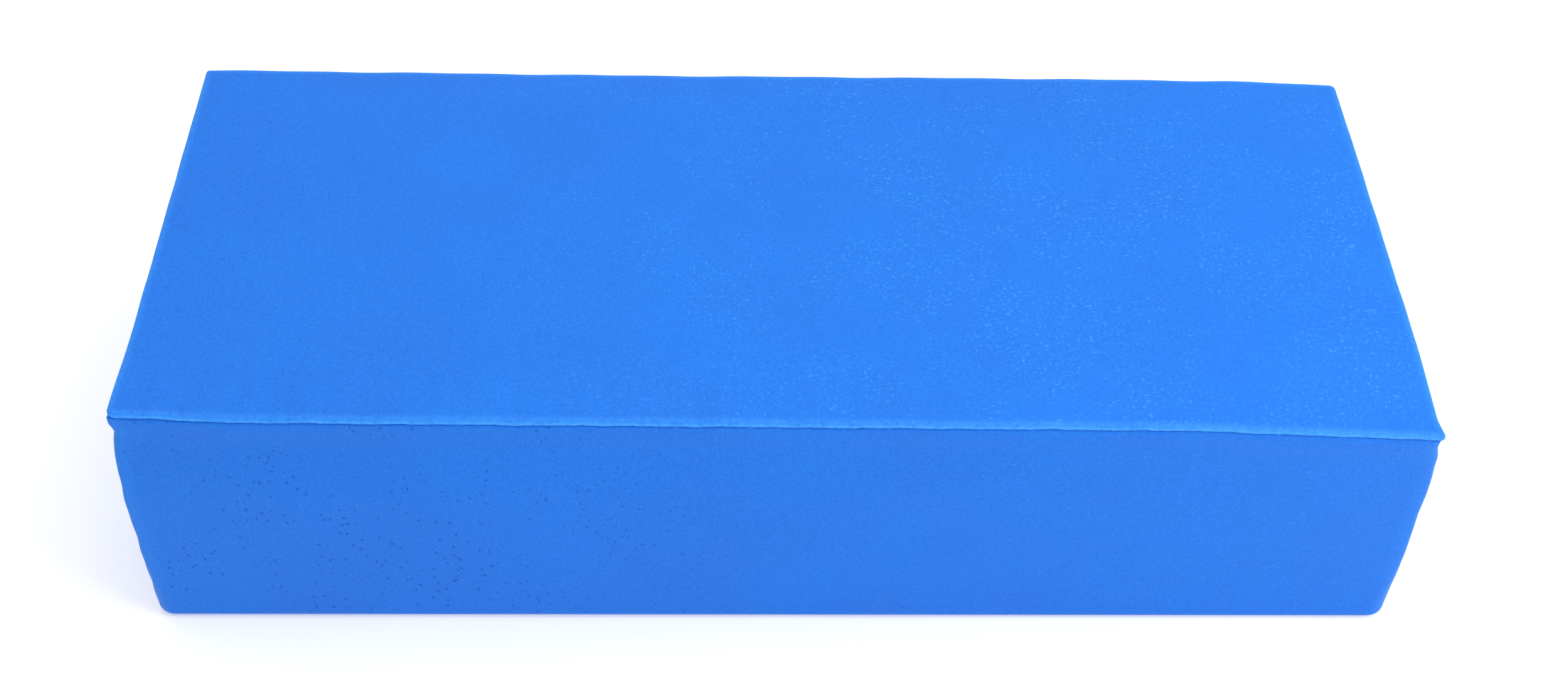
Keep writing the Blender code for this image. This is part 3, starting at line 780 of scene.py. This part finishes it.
def foam():
    """Open-cell foam: small round cells of uneven size, their hollows painted darker as shade."""
    nodes = Nodes("foam")
    cells = nodes.cells(900.0)
    patches = nodes.noise(30.0, 3.0)
    # Painted shade: darker in the cells' hollows
    colour = nodes.mix(nodes.span(cells, 0.1, 0.7), (0.045, 0.050, 0.058), FOAM_GREY)
    colour = nodes.mix(nodes.times(patches, 0.3), colour, (0.120, 0.128, 0.145))
    nodes.set(Base_Color=colour, Roughness=0.95)
    nodes.bump(cells, 0.0004, 0.8)
    return nodes.made, "foam"


def nickel():
    """Nickel plate, brushed along the zip, duller where fingers and the bail rub it."""
    nodes = Nodes("nickel_plate")
    brushed = nodes.noise(3000.0, 3.0, 0.6, nodes.moved(stretch=(0.08, 1.0, 1.0)))
    rubbed = nodes.noise(240.0, 3.0, 0.6)
    colour = nodes.mix(nodes.span(rubbed, 0.35, 0.7), NICKEL, (0.57, 0.555, 0.53))
    roughness = nodes.math("ADD", nodes.span(rubbed, 0.3, 0.7, 0.14, 0.22), nodes.times(brushed, 0.12))
    nodes.set(Base_Color=colour, Metallic=1.0, Roughness=roughness)
    nodes.bump(brushed, 0.00002, 0.5)
    return nodes.made, "nickel"


# The cover


def length(path):
    """The length of a line of points."""
    return float(np.linalg.norm(np.diff(np.array(path), axis=0), axis=1).sum())


def wall_start():
    """A wall's top: the end of its allowance, and the bend where it turns down."""
    return (ALLOWANCE, HOOK_Z), ((WALL, HOOK_Z), BEND)


def wall_end():
    """A wall's foot: it rolls under, runs in to the seam and turns up over the underside's allowance."""
    middle = SHEET / 2
    riser = BOTTOM_EDGE - GAP - middle
    shelf = middle + 2 * LAYER
    corners = [((WALL, middle), ROLL), ((riser, middle), BEND), ((riser, shelf), BEND)]
    return corners, (riser + ALLOWANCE, shelf)


def cover_top(finish):
    """The top panel: its edge is folded under and stands out past the walls as a lip."""
    flat_end, edge = 0.012, SHEET / 2
    corners = [((edge, TOP_Z), LAYER / 2), ((edge, TOP_Z - LAYER), LAYER / 2)]
    path = fold_path((flat_end, TOP_Z), corners, (ALLOWANCE, TOP_Z - LAYER), FOLDED)
    points, faces = panel(sheet_outline(path), ALONG_TOP)
    inset = np.minimum(HALF_X - np.abs(points[:, 0]), HALF_Y - np.abs(points[:, 1]))
    down = HEIGHT - points[:, 2]
    # Painted highlight along the lip, partly wear: the fold is lightened from its outer edge down into its
    # underside against the shade there, and a fainter band lies on the top beside it
    wear_and_highlight = fade(down, 0.0012, 0.0019) * fade(inset, 0.0001, 0.0005)
    wear_and_highlight += 0.45 * fade(down, 0.0009, 0.0016) * fade(inset, 0.0004, 0.0038) * (1 - wear_and_highlight)
    thing = place("cover_top", shaped(points, lip=True), faces, finish, "top_panel")
    mark_wear_and_highlight(thing, wear_and_highlight)


def cover_bottom(finish):
    """The underside, its edge folded in over the walls' foot."""
    flat_end, middle = 0.0205, SHEET / 2
    edge = BOTTOM_EDGE + middle
    corners = [((edge, middle), LAYER / 2), ((edge, middle + LAYER), LAYER / 2)]
    path = fold_path((flat_end, middle), corners, (BOTTOM_EDGE + ALLOWANCE, middle + LAYER), 0.002)
    points, faces = panel(sheet_outline(path), COARSE)
    thing = place("cover_bottom", shaped(points), faces, finish, "bottom_panel")


def cover_boxing(finish):
    """The strip that makes the front, both ends and the back's corners."""
    start, first = wall_start()
    others, end = wall_end()
    path = fold_path(start, [first] + others, end, 0.0022)
    plan = outline_past_gusset()
    points, faces = swept(sheet_outline(path), plan, closed=False)
    away = np.hypot(HALF_X - np.abs(points[:, 0]), HALF_Y - np.abs(points[:, 1]))
    inset = np.minimum(HALF_X - np.abs(points[:, 0]), HALF_Y - np.abs(points[:, 1]))
    # Lighter at the corners and along the foot
    outside = fade(inset, WALL - SHEET / 2 + GAP, WALL)
    wear_and_highlight = outside * (0.16 * fade(away, 0.003, 0.009) + 0.10 * fade(points[:, 2], 0.002, 0.006))
    thing = place("cover_boxing", shaped(points), faces, finish, "boxing_strip")
    mark_wear_and_highlight(thing, wear_and_highlight)


def zip_panel(name, path, backing_low, backing_high, finish, replaced):
    """A back wall panel, and the strips behind its end seams, on which the boxing's ends are stitched."""
    reach = GUSSET_HALF - GAP
    parts = [swept(sheet_outline(path), outline_along_back(-reach, reach, STITCH_PITCH / 3), closed=False)]
    inset = WALL + LAYER
    backing = sheet_outline(fold_path((inset, backing_high), [], (inset, backing_low)))
    for side in (-1, 1):
        near, far = side * (GUSSET_HALF - 0.008), side * (GUSSET_HALF + ALLOWANCE)
        plan = outline_along_back(min(near, far), max(near, far), 0.002)
        parts.append(swept(backing, plan, closed=False))
    points, faces = together(parts)
    thing = place(name, shaped(points), faces, finish, replaced)


def cover_zip_panels(finish):
    """The back wall above and below the zip, each folded in beside it."""
    clear = 0.003  # between a fold and the strips behind the end seams
    start, first = wall_start()
    edge = SLOT_HIGH + SHEET / 2
    fold = [((WALL, edge), LAYER / 2), ((WALL + LAYER, edge), LAYER / 2)]
    fold_end = SLOT_HIGH + ALLOWANCE
    path = fold_path(start, [first] + fold, (WALL + LAYER, fold_end), FOLDED)
    zip_panel("cover_zip_upper", path, fold_end + clear, HEIGHT - 0.010, finish, "zip_panel_upper")

    edge = SLOT_LOW - SHEET / 2
    fold = [((WALL + LAYER, edge), LAYER / 2), ((WALL, edge), LAYER / 2)]
    others, end = wall_end()
    fold_end = SLOT_LOW - ALLOWANCE
    path = fold_path((WALL + LAYER, fold_end), fold + others, end, FOLDED)
    zip_panel("cover_zip_lower", path, ROLL + 0.005, fold_end - clear, finish, "zip_panel_lower")


# The foam


def turned_edge(points, across, radius, foot):
    """Rounds the block's lower edges on the two sides across which it is measured by that axis."""
    out = np.abs(points[:, across]) - (np.abs(points[:, across]).max() - radius)
    down = foot + radius - points[:, 2]
    inside = (out > 0) & (down > 0)
    reach = np.maximum(out, down)[inside] / np.hypot(out, down)[inside]
    points[inside, across] += np.sign(points[inside, across]) * out[inside] * (reach - 1)
    points[inside, 2] -= down[inside] * (reach - 1)


def foam_block(finish):
    """The foam, pressed in by the seam allowances at its top and bottom edges and by the zip at the back."""
    spacing, clear = 0.006, 0.0006
    face = HALF_X - FOAM_HIGH[0]
    foot, crown = FOAM_LOW[2], FOAM_HIGH[2]
    middle, half = (foot + crown) / 2, (crown - foot) / 2
    lines = [graded(reach, spacing) for reach in (HALF_X - face, HALF_Y - face, half)]
    lines[2] += middle
    points, faces, _ = block(lines)
    inset = np.minimum(HALF_X - np.abs(points[:, 0]), HALF_Y - np.abs(points[:, 1]))
    top_step = crown - (HOOK_Z - SHEET / 2 - 2 * GAP - clear)
    bottom_step = SHEET + 2 * LAYER + 2 * GAP + clear - foot
    near_top, near_foot = fade(crown - points[:, 2], 0.0, 0.020), fade(points[:, 2] - foot, 0.0, 0.020)
    points[:, 2] -= top_step * near_top * fade(inset, ALLOWANCE + GAP, ALLOWANCE + 0.004)
    reach = BOTTOM_EDGE + ALLOWANCE + GAP
    points[:, 2] += bottom_step * near_foot * fade(inset, reach, reach + 0.004)
    step_foot = foot + bottom_step
    for across in (0, 1):
        turned_edge(points, across, ROLL, step_foot)

    near_back = fade(HALF_Y - face - points[:, 1], 0.0, 0.030)
    beside = fade(np.abs(points[:, 0]), GUSSET_HALF + 0.0105, GUSSET_HALF + 0.0145)
    height = points[:, 2]
    panels = beside * fade(height, HOOK_Z - 0.004, HOOK_Z - 0.001) * (1 - fade(height, ROLL, ROLL + 0.003))
    zip_groove = beside * fade(np.abs(height - ZIP_Z), 0.0062, 0.0092)
    points[:, 1] -= near_back * (0.0025 * panels + 0.0014 * zip_groove)
    thing = place("foam_block", shaped(points), faces, finish, "foam_core")


# The threads


def stitch_row(name, start, end, finish, replaced):
    """Single stitches from start to end on the back wall, each dipping into the cloth at both ends.

    start and end are (x, height). The row is a little uneven, as a hand-guided one is.
    """
    start, end = np.array(start), np.array(end)
    run = end - start
    count = int(np.linalg.norm(run) / STITCH_PITCH)
    along = run / np.linalg.norm(run)
    beside = np.array([-along[1], along[0]])
    draw = random.Random(name)
    rest = WALL - SHEET / 2 - 0.6 * STITCH_RADIUS
    share = np.linspace(-1, 1, 9)
    parts = []
    for k in range(count):
        middle = start + along * (k + 0.5) * STITCH_PITCH
        slant = 0.00012 + draw.uniform(-0.00004, 0.00004)
        half = STITCH_LENGTH / 2 * draw.uniform(0.96, 1.04)
        flat = middle + share[:, None] * along * half + share[:, None] * beside * slant
        inset = rest + 0.00055 * np.abs(share) ** 5
        path = np.column_stack([flat[:, 0], HALF_Y - inset, flat[:, 1]])
        parts.append(tube(path, STITCH_RADIUS, 7))
    points, faces = together(parts)
    place(name, shaped(points), faces, finish, replaced, sharp=60)


def topstitches(finish):
    for name, node in (("stitches_upper", "topstitch_upper"), ("stitches_lower", "topstitch_lower")):
        low, high = box(node)
        height = (low[2] + high[2]) / 2
        stitch_row(name, (low[0], height), (high[0], height), finish, node)
    for name, node in (("stitches_left", "topstitch_left"), ("stitches_right", "topstitch_right")):
        low, high = box(node)
        x = (low[0] + high[0]) / 2
        stitch_row(name, (x, low[2]), (x, high[2]), finish, node)


def seam_thread(name, node, finish):
    """The thread of a seam inside the cover, lying in small waves, one for each stitch."""
    sway = 0.00005
    low, high = box(node)
    radius = (high[2] - low[2]) / 2
    inset = HALF_X - high[0] + radius
    height = (low[2] + high[2]) / 2
    plan = moved_in(outline_all_round(), inset)
    lengths = np.linalg.norm(np.roll(plan, -1, axis=0) - plan, axis=1)
    total = lengths.sum()
    count = int(total / STITCH_PITCH) * STITCH_STEPS
    travelled = np.concatenate([[0], np.cumsum(lengths)])
    around = np.vstack([plan, plan[:1]])
    places = np.arange(count) * total / count
    x, y = [np.interp(places, travelled, around[:, axis]) for axis in (0, 1)]
    z = height + sway * np.cos(places / total * 2 * math.pi * count / STITCH_STEPS)
    path = np.column_stack([x, y, z])
    points, faces = tube(path, radius - 1.2 * sway, 7, closed=True)
    place(name, shaped(points), faces, finish, node, sharp=60)


# The zip


def tape(name, side, finish, replaced):
    """A woven tape with ribs along it."""
    rib_pitch, rib_height = 0.00048, 0.00005
    near, far = TAPE_LOW[2] - ZIP_Z, TAPE_HIGH[2] - ZIP_Z
    heights = np.arange(near, far, 0.0001)
    ribs = rib_height * (1 - np.abs(np.sin(heights * math.pi / rib_pitch)))
    outer = np.column_stack([TAPE_FACE + ribs, ZIP_Z + side * heights])
    inner = np.column_stack([np.full(len(heights), HALF_Y - TAPE_LOW[1]), ZIP_Z + side * heights])
    outline = np.vstack([outer, inner[::-1]])
    points, faces = swept(outline, outline_along_back(TAPE_LOW[0], TAPE_HIGH[0], 0.004), closed=False)
    thing = place(name, points, faces, finish, replaced)


def coil(name, side, shift, finish, replaced):
    """One side of the chain: a nylon wire wound in flat turns, whose heads point at the zip's middle."""
    clear = 0.00002
    head, back = ZIP_HEAD + COIL_WIRE, TEETH_HIGH[2] - ZIP_Z - COIL_WIRE
    depth = (TEETH_HIGH[1] - TEETH_LOW[1]) / 2 - COIL_WIRE - clear
    middle = HALF_Y - (TEETH_LOW[1] + TEETH_HIGH[1]) / 2
    reach = TEETH_HIGH[0] - COIL_WIRE - COIL_PITCH / 2
    turns = int(2 * reach / COIL_PITCH)
    angle = np.linspace(0, turns * 2 * math.pi, turns * COIL_STEPS + 1)
    x = (angle / (2 * math.pi) - turns / 2) * COIL_PITCH + shift
    across = (head + back) / 2 - (back - head) / 2 * np.cos(angle)
    inset = middle - depth * np.sin(angle)
    path = np.column_stack([x, HALF_Y - inset, ZIP_Z + side * across])
    points, faces = tube(path, COIL_WIRE, 7)
    place(name, points, faces, finish, replaced, sharp=60)


def coil_thread(name, side, shift, finish):
    """The sewing that holds a coil down on its tape, one wave over each turn."""
    radius, proud, sway, from_edge = 0.00010, 0.00002, 0.00012, 0.0006
    reach = TEETH_HIGH[0] - 0.002
    x = np.linspace(-reach, reach, int(2 * reach / COIL_PITCH) * 8)
    wave = 1 - np.cos((x - shift) * 2 * math.pi / COIL_PITCH)
    z = np.full(len(x), ZIP_Z + side * (TEETH_HIGH[2] - ZIP_Z - from_edge))
    path = np.column_stack([x, HALF_Y - TEETH_FACE + proud - sway * wave, z])
    points, faces = tube(path, radius, 6)
    place(name, points, faces, finish, None, sharp=60)


def zip_chain(woven, wire, sewing):
    for side, word, shift in ((1, "upper", 0.0), (-1, "lower", COIL_PITCH / 2)):
        tape("tape_" + word, side, woven, "zip_tape_" + word)
        coil("coil_" + word, side, shift, wire, "zip_teeth_" + word)
        coil_thread("coil_thread_" + word, side, shift, sewing)


# Light, floor and camera


def staged(name, points, faces, grey, glow):
    """A plain matt surface that isn't part of the pad, and that gives a little light of its own."""
    mesh = bpy.data.meshes.new(name)
    mesh.from_pydata(points.tolist(), [], faces)
    nodes = Nodes(name)
    nodes.set(Base_Color=(grey, grey, grey), Roughness=0.9, Specular_IOR_Level=0.1)
    nodes.set(Emission_Color=(1.0, 1.0, 1.0), Emission_Strength=glow)
    mesh.materials.append(nodes.made)
    thing = bpy.data.objects.new(name, mesh)
    bpy.context.scene.collection.objects.link(thing)


def floor():
    """It lies just under the pad, so that the two surfaces don't flicker."""
    size, below = 6.0, 0.0002
    corners = np.array([(-1, -1), (1, -1), (1, 1), (-1, 1)]) * size
    staged("floor", np.column_stack([corners, np.full(4, -below)]), [(0, 1, 2, 3)], 0.74, 0.33)


def backdrop():
    """A plain wall far round the pad, as pale as the floor is there."""
    radius, height, steps = 5.5, 1.5, 96
    angles = np.arange(steps) * 2 * math.pi / steps
    ring = np.column_stack([radius * np.cos(angles), radius * np.sin(angles), np.zeros(steps)])
    points = np.vstack([ring, ring + (0, 0, height)])
    staged("backdrop", points, strip_faces(2, steps, False, True).tolist(), 0.0, 0.97)


def softbox(name, stand, size, power):
    """A square light aimed at the pad's middle."""
    light = bpy.data.lights.new(name, "AREA")
    light.shape = "RECTANGLE"
    light.size = light.size_y = size
    light.energy = power
    thing = bpy.data.objects.new(name, light)
    thing.location = stand
    thing.rotation_euler = (Vector((0.0, 0.0, 0.05)) - Vector(stand)).to_track_quat("-Z", "Y").to_euler()
    bpy.context.scene.collection.objects.link(thing)


def lights():
    """Pale light from all round, a key from the front right, and a large soft light over the top."""
    world = bpy.data.worlds.new("studio")
    world.use_nodes = True
    background = world.node_tree.nodes["Background"]
    background.inputs["Color"].default_value = (1.0, 1.0, 1.0, 1.0)
    background.inputs["Strength"].default_value = 0.80
    bpy.context.scene.world = world
    softbox("key", (0.75, -0.45, 0.80), 0.6, 6.2)
    softbox("overhead", (0.0, 0.35, 1.70), 1.6, 10.7)


def camera():
    """At the photograph's angle: from the front, 44 degrees down, turned and rolled by about 2 degrees."""
    stand, focal_length = (-0.0236, -0.67705, 0.70665), 50.63
    down, turn, roll = math.radians(43.88), math.radians(2.34), math.radians(2.17)
    ahead = Vector((math.sin(turn) * math.cos(down), math.cos(turn) * math.cos(down), -math.sin(down)))
    level = Vector((math.cos(turn), -math.sin(turn), 0.0))
    upright = level.cross(ahead)
    right = level * math.cos(roll) + upright * math.sin(roll)
    up = upright * math.cos(roll) - level * math.sin(roll)
    data = bpy.data.cameras.new("camera")
    data.sensor_width = 36.0
    data.sensor_fit = "HORIZONTAL"
    data.lens = focal_length
    thing = bpy.data.objects.new("camera", data)
    axes = Matrix((right, up, -ahead)).transposed().to_4x4()
    thing.matrix_world = Matrix.Translation(stand) @ axes
    bpy.context.scene.collection.objects.link(thing)
    bpy.context.scene.camera = thing


def main():
    blue_sheet = leathercloth()
    cover_top(blue_sheet)
    cover_bottom(blue_sheet)
    cover_boxing(blue_sheet)
    cover_zip_panels(blue_sheet)
    foam_block(foam())
    sewing = thread()
    topstitches(sewing)
    seam_thread("seam_thread_top", "top_seam_thread", sewing)
    seam_thread("seam_thread_bottom", "bottom_seam_thread", sewing)
    zip_chain(tape_weave(), nylon(), sewing)
    metal = nickel()[0]
    for name in ("zip_slider", "zip_pull_tab", "zip_stop_upper", "zip_stop_lower", "zip_stop_open_end"):
        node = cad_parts[name]
        node.data.materials.clear()
        node.data.materials.append(metal)
    floor()
    backdrop()
    lights()
    camera()
    bpy.context.scene.view_settings.view_transform = "Standard"


main()
